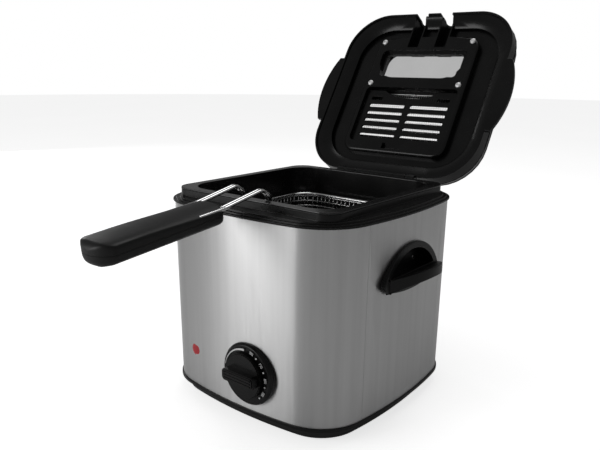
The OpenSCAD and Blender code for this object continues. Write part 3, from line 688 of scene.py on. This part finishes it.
@dataclass
class Grip:
    """The handle's grip: two crowned halves with a parting line.

    The root is the end at the wires, and the tip is the end in the hand.
    """

    width: float = 36 * MM
    length: float = 107 * MM
    thick: float = 17 * MM
    root: Vector = field(default_factory=lambda: Vector((0, -121.404 * MM, 182.356 * MM)))
    tilt: float = 5.9
    root_round: float = 8 * MM
    tip_round: float = 22 * MM
    parting: float = 0.12 * MM
    sides: int = 40
    top_square: float = 2 / 7
    bottom_square: float = 2 / 3

    def half_width(self, s: float) -> float:
        """Half the grip's width.

        Args:
            s: the distance from its root.

        Returns:
            The half width there.
        """
        w = self.width / 2
        if s < self.root_round:
            w -= self.root_round - math.sqrt(self.root_round**2 - (self.root_round - s) ** 2)
        rest = self.length - s
        if rest < self.tip_round:
            w = min(w, math.sqrt(max(0.0, self.tip_round**2 - (self.tip_round - rest) ** 2)) + 0.4 * MM)
        return max(w, 1 * MM)

    def half_thick(self, s: float) -> float:
        """Half the grip's thickness, which thins at both ends.

        Args:
            s: the distance from its root.

        Returns:
            The half thickness there.
        """
        root = min(1.0, 0.62 + 0.38 * math.sqrt(min(1, s / (3 * MM))))
        tip = min(1.0, 0.35 + 0.65 * math.sqrt(min(1, (self.length - s) / (4 * MM))))
        return self.thick / 2 * (root * tip)

    def stations(self) -> list[float]:
        """Where its cross sections lie: close together at the ends, even between.

        Returns:
            The distances from the root.
        """
        tip, count = self.tip_round / MM, 14
        steps = [0.0, 0.3, 0.8, 1.6, 3, 5, 8] + [8 + 3.95 * i for i in range(1, 20)]
        steps += [self.length / MM - tip + tip * (1 - (1 - i / count) ** 1.6) for i in range(1, count + 1)]
        return [min(mm * MM, self.length) for mm in steps]

    def half(self, name: str, top: bool) -> None:
        """Makes the upper or the lower half.

        Args:
            name: the CAD node that it stands for.
            top: whether it is the upper half.
        """
        form = bmesh.new()
        place = Matrix.Translation(self.root) @ Matrix.Rotation(math.radians(self.tilt), 4, "X")
        power = self.top_square if top else self.bottom_square
        rings = []
        for s in self.stations():
            w, t = self.half_width(s), self.half_thick(s)
            crown = (1.2 + 2.8 * smooth_step(1 - min(1.0, s / (80 * MM)))) * MM
            ring = []
            for k in range(self.sides + 1):
                a = math.pi * k / self.sides
                rise = abs(math.sin(a)) ** power
                x = w * math.copysign(abs(math.cos(a)) ** power, math.cos(a))
                z = self.parting + (t - self.parting) * rise
                if top:
                    z = max(self.parting, z - crown * (x / (self.width / 2)) ** 2 * rise)
                ring.append(place @ Vector((x, -s, z if top else -z)))
            rings.append(ring if top else ring[::-1])
        lofted(form, rings)
        bmesh.ops.recalc_face_normals(form, faces=form.faces)
        stand_in(name, close_form(form, name, 50), GRIP_BLACK, Body.HANDLE)

    def build(self) -> None:
        """Makes both halves."""
        self.half("grip_upper", True)
        self.half("grip_lower", False)


@dataclass
class Basket:
    """The basket's woven wire and its rim."""

    x: float = 69 * MM
    y: float = 71.53 * MM
    r: float = 21 * MM
    top: float = 159.1 * MM
    height: float = 76 * MM
    pitch: float = 5.0 * MM
    wire: float = 0.5 * MM
    wave: float = 0.42 * MM
    wall: float = 0.9 * MM
    under_rim: float = 0.6 * MM
    rim: float = 1.5 * MM

    def weave(self, count: int) -> float:
        """How far a wire bends aside at a crossing.

        Args:
            count: the crossing's place along the wire, plus the number of the wire.

        Returns:
            The distance, outward or inward by turns.
        """
        return self.wave if count % 2 else -self.wave

    def hoops(self, form: bmesh.types.BMesh, levels: Sequence[float]) -> None:
        """Adds the wires that run round the walls.

        Args:
            form: the form that they are added to.
            levels: their heights.
        """
        outline = rounded_path(self.x - self.wall, self.y - self.wall, self.r, self.pitch)
        for j, z in enumerate(levels):
            path = []
            for k, (px, py) in enumerate(outline):
                out = Vector((px, py, 0)).normalized()
                path.append(Vector((px, py + FRAME_Y, z)) + out * self.weave(k + j))
            tube(form, path, self.wire, 6, closed=True)

    def strands(self, form: bmesh.types.BMesh, levels: Sequence[float], turned: bool) -> None:
        """Adds the wires that run down one wall, under the floor and up the other.

        Args:
            form: the form that they are added to.
            levels: the heights of the hoops that they cross.
            turned: whether they run across instead of back.
        """
        low = self.top - self.height + 2 * self.wire
        span, reach = (self.y, self.x) if turned else (self.x, self.y)
        count = int((span - 4 * MM) / self.pitch)
        for i in range(-count, count + 1):
            at = i * self.pitch
            corner = max(0.0, abs(at) - (span - self.r))
            half = reach - self.r + math.sqrt(max(0.0, self.r**2 - corner**2)) - self.wall
            down = [(half, z) for z in levels]
            across = int(half / self.pitch)
            flat = [(k * self.pitch, low) for k in range(across, -across - 1, -1)]
            path = []
            for k, (h, z) in enumerate(down + flat + [(-h, z) for h, z in reversed(down)]):
                off = self.weave(k + i)
                if z == low:
                    z += off if turned else -off
                else:
                    h += math.copysign(off, h)
                path.append(Vector((h, at + FRAME_Y, z)) if turned else Vector((at, h + FRAME_Y, z)))
            tube(form, path, self.wire, 6)

    def build(self) -> None:
        """Weaves the mesh and bends the rim."""
        form = bmesh.new()
        rings = int((self.height - 4 * MM) / self.pitch)
        levels = [self.top - self.under_rim - j * self.pitch for j in range(rings + 1)]
        self.hoops(form, levels)
        for turned in (False, True):
            self.strands(form, levels, turned)
        piece = publish("basket_mesh", close_form(form, "basket_mesh", 80), CHROME, Body.BASKET)
        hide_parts("basket_floor", "basket_wall_front", "basket_wall_back", "basket_wall_left",
                    "basket_wall_right")
        form = bmesh.new()
        outline = rounded_path(self.x - self.rim, self.y - self.rim, self.r - self.rim, 3 * MM)
        path = [Vector((px, py + FRAME_Y, self.top + self.rim)) for px, py in outline]
        tube(form, path, self.rim, 14, closed=True)
        piece = publish("basket_rim", close_form(form, "basket_rim", 80), CHROME, Body.BASKET)
        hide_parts("basket_rim_wire")


STROKES = {"0": "abcdef", "1": "bc", "3": "abgcd", "5": "afgcd", "7": "abc", "9": "abfgcd"}
STROKE_ENDS = {"a": ((0, 2), (1, 2)), "b": ((1, 2), (1, 1)), "c": ((1, 1), (1, 0)), "d": ((0, 0), (1, 0)),
               "e": ((0, 0), (0, 1)), "f": ((0, 1), (0, 2)), "g": ((0, 1), (1, 1))}


@dataclass
class Dial:
    """The knob and the marks round it."""

    middle: Vector = field(default_factory=lambda: Vector((17 * MM, -103.974 * MM, 47.5 * MM)))
    radius: float = 19 * MM
    flutes: int = 48
    flute: float = 0.35 * MM
    bar_half: float = 5.0 * MM
    bar_round: float = 3 * MM
    print_face: float = 0.75 * MM
    print_deep: float = 0.3 * MM
    marks: tuple[str, ...] = ("190", "170", "150", "130")
    first_mark: float = 72
    mark_step: float = 33
    wedge_r: float = 22.4 * MM
    dot_r: float = 21.6 * MM
    digit_r: float = 21.0 * MM
    digit: tuple[float, float] = (1.0 * MM, 0.95 * MM)
    digit_pitch: float = 1.7 * MM
    pen: float = 0.19 * MM

    def plate(self, form: bmesh.types.BMesh, outline: Sequence[tuple[float, float]], front: float,
              back: float) -> None:
        """Adds a flat plate that faces forward.

        Args:
            form: the form that it is added to.
            outline: its points across and up from the dial's middle.
            front: how far its face stands before the knob's back.
            back: how far its back stands before the knob's back.
        """
        a = [form.verts.new(self.middle + Vector((x, -front, z))) for x, z in outline]
        b = [form.verts.new(self.middle + Vector((x, -back, z))) for x, z in outline]
        form.faces.new(a)
        form.faces.new(b[::-1])
        for k in range(len(a)):
            n = (k + 1) % len(a)
            form.faces.new((a[n], a[k], b[k], b[n]))

    def printed(self, form: bmesh.types.BMesh, outline: Sequence[tuple[float, float]]) -> None:
        """Adds one printed mark on the bezel.

        Args:
            form: the form that it is added to.
            outline: its points across and up from the dial's middle.
        """
        self.plate(form, outline, self.print_face, self.print_face - self.print_deep)

    def bar(self, length: float) -> list[tuple[float, float]]:
        """The outline of the knob's finger bar.

        Args:
            length: half its length.

        Returns:
            Its points.
        """
        r, steps = self.bar_round, 8
        upper = []
        for side, start in ((1, 0), (-1, 1)):
            for k in range(steps + 1):
                a = math.pi / 2 * (start + k / steps)
                upper.append((side * (length - r) + r * math.cos(a), self.bar_half - r + r * math.sin(a)))
        return upper + [(x, -z) for x, z in reversed(upper)]

    def knob(self) -> None:
        """Turns the fluted knob with its ridged bar."""
        form = bmesh.new()
        outer = []
        for k, a in enumerate(turns(self.flutes * 4)):
            r = self.radius - self.flute * (1 if k % 4 in (0, 1) else 0)
            outer.append((r * math.cos(a), r * math.sin(a)))
        self.plate(form, outer, 3.4 * MM, 0.0)
        self.plate(form, [(0.965 * x, 0.965 * z) for x, z in outer], 4.0 * MM, 3.35 * MM)
        length = self.radius - 2 * MM
        bar = self.bar(length)
        self.plate(form, bar, 9.6 * MM, 3.9 * MM)
        self.plate(form, [(x * 0.94, z * 0.82) for x, z in bar], 10.3 * MM, 9.5 * MM)
        for z in (-2.4 * MM, 0.0, 2.4 * MM):
            x, half = length - 2.6 * MM, 0.5 * MM
            ridge = [(-x, z - half), (x, z - half), (x, z + half), (-x, z + half)]
            self.plate(form, ridge, 10.9 * MM, 10.2 * MM)
        bmesh.ops.recalc_face_normals(form, faces=form.faces)
        stand_in("control_knob", close_form(form, "control_knob", 30), DIAL_BLACK, Body.KNOB)

    def wedge(self, form: bmesh.types.BMesh) -> None:
        """Prints the band that widens as the heat rises.

        Args:
            form: the form that it is added to.
        """
        steps = 24
        rings = []
        for k in range(steps + 1):
            a = math.radians(170 - 78 * k / steps)
            thick = 0.25 * MM + 1.5 * MM * k / steps
            rings.append(((self.wedge_r - thick, a), (self.wedge_r, a)))
        for (p, q), (u, v) in zip(rings, rings[1:]):
            self.printed(form, [(r * math.cos(a), r * math.sin(a)) for r, a in (p, q, v, u)])

    def scale(self) -> None:
        """Prints the temperature wedge, the figures and the dots on the bezel."""
        form = bmesh.new()
        self.wedge(form)
        for k, figure in enumerate(self.marks):
            at = self.first_mark - self.mark_step * k
            self.figures(form, figure, math.radians(at))
            a = math.radians(at - self.mark_step / 2)
            x, z, r = self.dot_r * math.cos(a), self.dot_r * math.sin(a), 0.7 * MM
            self.printed(form, [(x + r * math.cos(b), z + r * math.sin(b)) for b in turns(10)])
        bmesh.ops.recalc_face_normals(form, faces=form.faces)
        publish("dial_scale", close_form(form, "dial_scale"), PRINT, Body.MAIN)

    def figures(self, form: bmesh.types.BMesh, figure: str, angle: float) -> None:
        """Prints a number of seven-stroke digits at an angle of the scale.

        Args:
            form: the form that it is added to.
            figure: the digits.
            angle: its place round the dial, from the right.
        """
        turn = angle - math.pi / 2
        wide, high = self.digit
        for n, digit in enumerate(figure):
            for stroke in STROKES[digit]:
                (ax, ay), (bx, by) = STROKE_ENDS[stroke]
                left, right = min(ax, bx) * wide - self.pen, max(ax, bx) * wide + self.pen
                low, top = min(ay, by) * high - self.pen, max(ay, by) * high + self.pen
                outline = []
                for x, z in ((left, low), (right, low), (right, top), (left, top)):
                    x += (n - 1.5) * self.digit_pitch + 0.35 * MM
                    z += self.digit_r
                    outline.append((x * math.cos(turn) - z * math.sin(turn),
                                    x * math.sin(turn) + z * math.cos(turn)))
                self.printed(form, outline)

    def build(self) -> None:
        """Makes the knob and the scale."""
        self.knob()
        self.scale()


@dataclass
class Lens:
    """The red lens: a low dome with ribs inside.

    Each pair of its profile is a share of the radius and a height in millimetres before the sheet.
    """

    middle: Vector = field(default_factory=lambda: Vector((-49 * MM, -98.1 * MM + FRAME_Y, 47.5 * MM)))
    radius: float = 6.5 * MM
    rib: float = 0.12 * MM
    profile: tuple[tuple[float, float], ...] = (
        (1.0, -3.2), (1.0, -0.3), (0.97, 0.1), (0.9, 0.4), (0.7, 0.65), (0.4, 0.8), (0.12, 0.85))

    def build(self) -> None:
        """Turns the lens."""
        form = bmesh.new()
        rings = []
        for reach, out in self.profile:
            ring = []
            for k, a in enumerate(turns(64)):
                rib = self.rib if k % 4 < 2 and 0.3 < reach < 0.95 else 0
                ring.append(self.middle + Vector((
                    reach * self.radius * math.cos(a), -out * MM - rib, reach * self.radius * math.sin(a))))
            rings.append(ring)
        lofted(form, rings)
        bmesh.ops.recalc_face_normals(form, faces=form.faces)
        stand_in("indicator_lens", close_form(form, "indicator_lens", 40), LENS, Body.MAIN)


# How far the lid opens, and where its own frame lies from its hinge while it is closed
LID_OPEN = 122
LID_FROM_HINGE = (0, -98.33 * MM, 3.9 * MM)


def lid_place() -> Matrix:
    """Where the lid's own frame stands while the lid is open.

    Returns:
        The placing of points that are given in the lid's frame.
    """
    hinge = Vector(JOINTS["lid_hinge"]["pos_m"])
    return (Matrix.Translation(hinge) @ Matrix.Rotation(math.radians(-LID_OPEN), 4, "X")
            @ Matrix.Translation(LID_FROM_HINGE))


@dataclass
class Liner:
    """The lid's lining, with a soft edge round its raised plate.

    The plate is given by half its width, half its depth and its corner radius.
    """

    plate: tuple[float, float, float] = (60 * MM, 69 * MM, 14 * MM)
    back: float = 1 * MM
    level: float = 5 * MM
    soft: float = 3.2 * MM

    def off_plate(self, point: Vector) -> float:
        """How far a point is from the plate's outline.

        Args:
            point: the point, in the lid's frame.

        Returns:
            The distance.
        """
        x, y, r = self.plate
        dx, dy = abs(point.x) - (x - r), abs(point.y - self.back) - (y - r)
        if dx > 0 and dy > 0:
            return abs(math.hypot(dx, dy) - r)
        return min(abs(dx - r), abs(dy - r))

    def on_rim(self, a: Vector, b: Vector) -> bool:
        """Whether an edge lies on the plate's outline.

        Args:
            a: the edge's start, in the lid's frame.
            b: its end.

        Returns:
            Whether its ends and its middle all do.
        """
        if max(abs(a.z - self.level), abs(b.z - self.level)) >= 0.1 * MM:
            return False
        return max(self.off_plate(point) for point in (a, b, (a + b) / 2)) < 0.35 * MM

    def build(self) -> None:
        """Rounds the plate's edge widely."""
        form = traced("lid_liner")
        back = lid_place().inverted()
        edges = [e for e in form.edges if self.on_rim(*(back @ v.co for v in e.verts))]
        log.info("plate edge: %d edges", len(edges))
        bevel(form, edges, self.soft, 5)
        evenly_shaded(stand_in("lid_liner", close_form(form, "lid_liner", 40), LID_BLACK, Body.LID))


@dataclass
class Filter:
    """The fine screen under the lid's tray."""

    pitch: float = 2.6 * MM
    wire: float = 0.16 * MM
    level: float = 16.45 * MM
    x: float = 52.2 * MM
    y: tuple[float, float] = (-4.2 * MM, 56.2 * MM)
    lap: float = 0.2 * MM
    frame_wire: float = 0.38 * MM

    def build(self) -> None:
        """Lays the screen's wires crosswise in a flat frame."""
        form = bmesh.new()
        place = lid_place()
        x, (y0, y1) = self.x, self.y
        for i in range(int(2 * x / self.pitch)):
            at = -x + (i + 0.5) * self.pitch
            tube(form, [place @ Vector((at, y, self.level)) for y in (y0, y1)], self.wire, 4)
        for j in range(int((y1 - y0) / self.pitch)):
            at = y0 + (j + 0.5) * self.pitch
            tube(form, [place @ Vector((end, at, self.level + self.lap)) for end in (-x, x)], self.wire, 4)
        loop = [place @ Vector((px, py + (y0 + y1) / 2, self.level))
                for px, py in rounded_path(x, (y1 - y0) / 2, 3.5 * MM, 6 * MM)]
        tube(form, loop, self.frame_wire, 8, closed=True)
        piece = publish("filter_screen", close_form(form, "filter_screen", 80), SCREEN, Body.LID)
        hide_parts("filter_mesh")


@dataclass
class LidScrews:
    """Round screw heads with a drive hole, in the lid's plate.

    Each pair of the profile is a share of the radius and a height in millimetres in the lid's frame.
    """

    spots: tuple[tuple[float, float], ...] = ((-52, -62), (52, -62), (-52, -11), (52, -11))
    radius: float = 3.0 * MM
    profile: tuple[tuple[float, float], ...] = (
        (0.45, 17), (0.47, 5.0), (1.0, 4.95), (1.0, 4.5), (0.92, 3.9), (0.7, 3.45), (0.42, 3.25),
        (0.40, 3.7), (0.05, 3.75))

    def build(self) -> None:
        """Makes the four screws as one piece."""
        form = bmesh.new()
        place = lid_place()
        for x, y in self.spots:
            lofted(form, [[place @ Vector((x * MM + reach * self.radius * math.cos(a),
                                           y * MM + reach * self.radius * math.sin(a), level * MM))
                           for a in turns(40)] for reach, level in self.profile])
        bmesh.ops.recalc_face_normals(form, faces=form.faces)
        stand_in("lid_screws", close_form(form, "lid_screws", 40), BRIGHT, Body.LID)


# ---- Studio -----------------------------------------------------------------------------


@dataclass
class Studio:
    """Floor, light and camera.

    The azimuth, elevation and roll are the camera's, in degrees. The focal length is given in
    units of which the view is 600 wide.
    """

    eye: tuple[float, float, float] = (0.357705, -0.456503 + FRAME_Y, 0.289924)
    azimuth: float = 39.23
    elevation: float = 13.67
    roll: float = 0.53
    focal: float = 661.6
    view_width: float = 600.0
    sensor: float = 36.0
    ambient: float = 0.2
    through_glass: float = 0.3
    floor_glow: float = 0.72
    floor_radius: float = 6.0

    def camera(self) -> None:
        """Puts the camera at the viewing angle."""
        az, el, ro = (math.radians(a) for a in (self.azimuth, self.elevation, self.roll))
        back = Vector((math.sin(az) * math.cos(el), -math.cos(az) * math.cos(el), math.sin(el)))
        right = Vector((0, 0, 1)).cross(back).normalized()
        up = back.cross(right)
        right, up = math.cos(ro) * right + math.sin(ro) * up, math.cos(ro) * up - math.sin(ro) * right
        data = bpy.data.cameras.new("camera")
        data.sensor_width = self.sensor
        data.lens = self.focal * self.sensor / self.view_width
        data.clip_start, data.clip_end = 0.01, 30.0
        camera = bpy.data.objects.new("camera", data)
        camera.matrix_world = Matrix.Translation(self.eye) @ Matrix((right, up, back)).transposed().to_4x4()
        bpy.context.scene.collection.objects.link(camera)
        bpy.context.scene.camera = camera

    def floor(self) -> None:
        """Lays the pale floor under the feet."""
        form = bmesh.new()
        bmesh.ops.create_circle(form, cap_ends=True, segments=64, radius=self.floor_radius)
        mesh = close_form(form, "floor")
        shader = Shader("floor_paper")
        cloud = shader.noise(3.0)
        shader.tint(cloud, grey(0.88), grey(0.92))
        shader.rough(cloud, 0.7, 0.8)
        seen = shader.nodes.new("ShaderNodeLightPath")
        glow = shader.nodes.new("ShaderNodeMath")
        glow.operation = "MULTIPLY"
        glow.inputs[1].default_value = self.floor_glow
        shader.links.new(seen.outputs["Is Camera Ray"], glow.inputs[0])
        shader.links.new(glow.outputs[0], shader.bsdf.inputs["Emission Strength"])
        shader.set(Emission_Color=(1, 1, 1, 1))
        mesh.materials.append(shader.material)
        floor = bpy.data.objects.new("floor", mesh)
        bpy.context.scene.collection.objects.link(floor)

    def lamp(self, name: str, place: Sequence[float], aim: Sequence[float], size: Sequence[float],
             power: float) -> None:
        """Adds one soft box.

        Args:
            name: its name.
            place: where it stands.
            aim: the point that it faces.
            size: its width and height.
            power: its power in watts.
        """
        data = bpy.data.lights.new(name, "AREA")
        data.shape = "RECTANGLE"
        data.size, data.size_y = size
        data.energy = power
        lamp = bpy.data.objects.new(name, data)
        spot = Vector(place)
        turn = (Vector(aim) - spot).to_track_quat("-Z", "Y").to_matrix().to_4x4()
        lamp.matrix_world = Matrix.Translation(spot) @ turn
        bpy.context.scene.collection.objects.link(lamp)

    def sky(self) -> None:
        """White behind everything, and a dim even light from all round."""
        world = bpy.data.worlds.new("studio")
        world.use_nodes = True
        nodes, links = world.node_tree.nodes, world.node_tree.links
        seen = nodes.new("ShaderNodeLightPath")
        through = nodes.new("ShaderNodeMath")
        through.operation = "MULTIPLY_ADD"
        through.inputs[1].default_value = self.through_glass
        through.inputs[2].default_value = self.ambient
        direct = nodes.new("ShaderNodeMath")
        direct.operation = "MAXIMUM"
        links.new(seen.outputs["Is Transmission Ray"], through.inputs[0])
        links.new(seen.outputs["Is Camera Ray"], direct.inputs[0])
        links.new(through.outputs[0], direct.inputs[1])
        links.new(direct.outputs[0], nodes["Background"].inputs["Strength"])
        nodes["Background"].inputs["Color"].default_value = (1, 1, 1, 1)
        bpy.context.scene.world = world

    def build(self) -> None:
        """Sets up the whole studio."""
        self.floor()
        self.sky()
        self.lamp("key_left", (-0.90, -1.55, 0.45), (0, 0, 0.10), (0.95, 0.9), 10.5)
        self.lamp("top", (-0.1, 0.5, 1.7), (0, 0, 0.2), (1.0, 0.7), 5.0)
        self.lamp("edge_left", (-1.7, 0.5, 0.5), (0, 0, 0.15), (0.3, 1.0), 3.0)
        self.camera()
        bpy.context.scene.view_settings.view_transform = "Standard"


def main() -> None:
    """Builds the fryer's pieces and the studio."""
    logging.basicConfig(level=logging.INFO, format="%(name)s %(message)s")
    for part in (Traced(), Grip(), Basket(), Dial(), Lens(), Liner(), Filter(), LidScrews()):
        log.info("building %s", type(part).__name__)
        part.build()
    Studio().build()
    bpy.context.view_layer.update()


if __name__ == "__main__":
    main()
